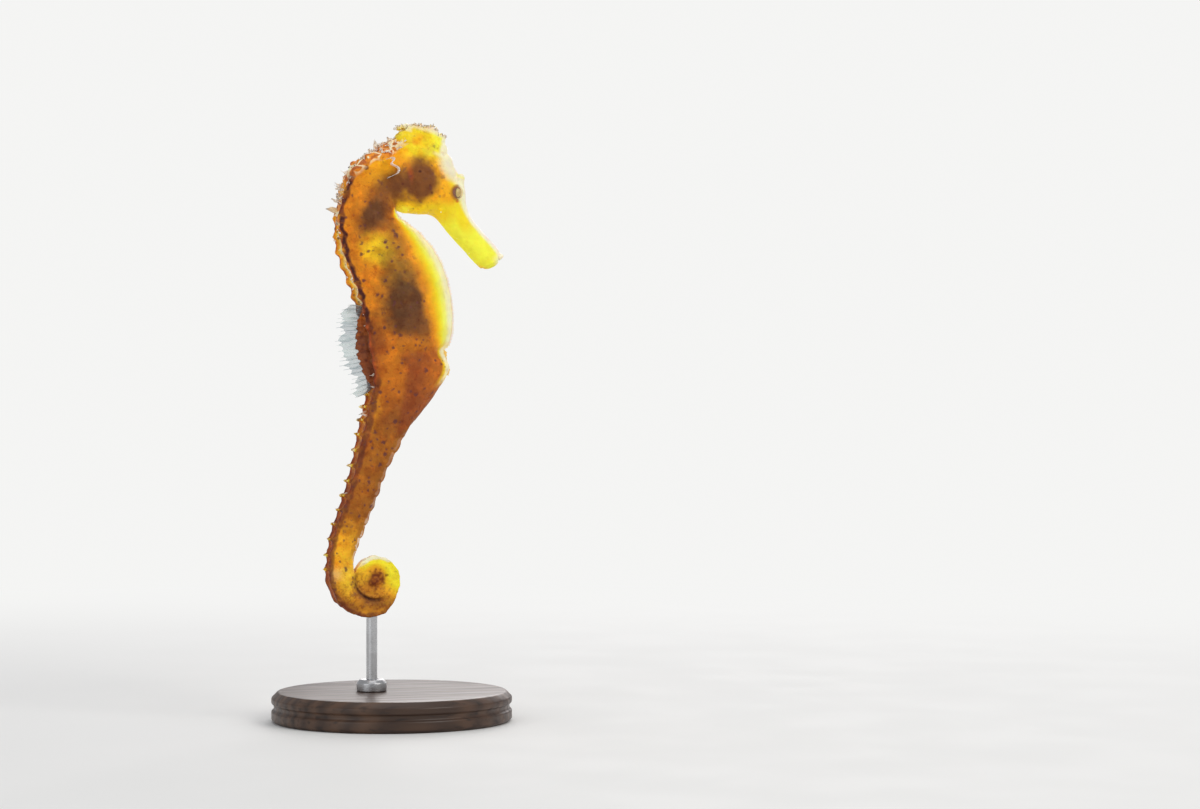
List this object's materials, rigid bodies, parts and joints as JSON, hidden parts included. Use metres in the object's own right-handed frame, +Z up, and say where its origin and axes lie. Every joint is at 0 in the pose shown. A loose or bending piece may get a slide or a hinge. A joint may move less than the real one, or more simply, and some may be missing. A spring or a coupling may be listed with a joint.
{
  "type": "seahorse model on a display stand",
  "caption": "Life-size yellow seahorse, upright with its tail coiled in a spiral, held on one short rod over a round wooden base.",
  "frame": {"origin": "middle of the underside of the stand's base", "axes": "+Z up, +X the way the animal faces, -Y its right side"},
  "size_m": [0.048, 0.048, 0.1199],
  "materials": {
    "skin": "satin, amber-orange skin over bony rings, with small dark brown spots",
    "belly_skin": "satin, amber skin that turns bright yellow along the keel of the belly",
    "snout_skin": "satin, bright yellow",
    "crown_skin": "matt, yellow with pale frilled tips",
    "pouch_skin": "smooth satin, orange-brown",
    "fin": "clear web with whitish rays",
    "eye": "glossy, brown and gold iris round a black pupil",
    "stand_wood": "dark stained wood, satin",
    "stand_steel": "brushed"
  },
  "bodies": {
    "root": {"mouth": "snout_skin", "snout": "snout_skin", "head": "skin", "coronet": "crown_skin", "eye_right": "eye", "eye_left": "eye", "side_fin_right": "fin", "side_fin_left": "fin", "dorsal_fin": "fin", "anal_fin": "fin", "brood_pouch": "pouch_skin", "tail_base": "skin", "neck": "skin", "trunk_upper": "belly_skin", "trunk_middle": "belly_skin", "trunk_lower": "skin", "tail_upper": "skin", "tail_middle": "skin", "tail_lower": "skin", "coil_outer": "skin", "coil_inner": "skin", "tail_tip": "skin", "stand_base": "stand_wood", "stand_collar": "stand_steel", "stand_rod": "stand_steel"}
  },
  "joints": []
}
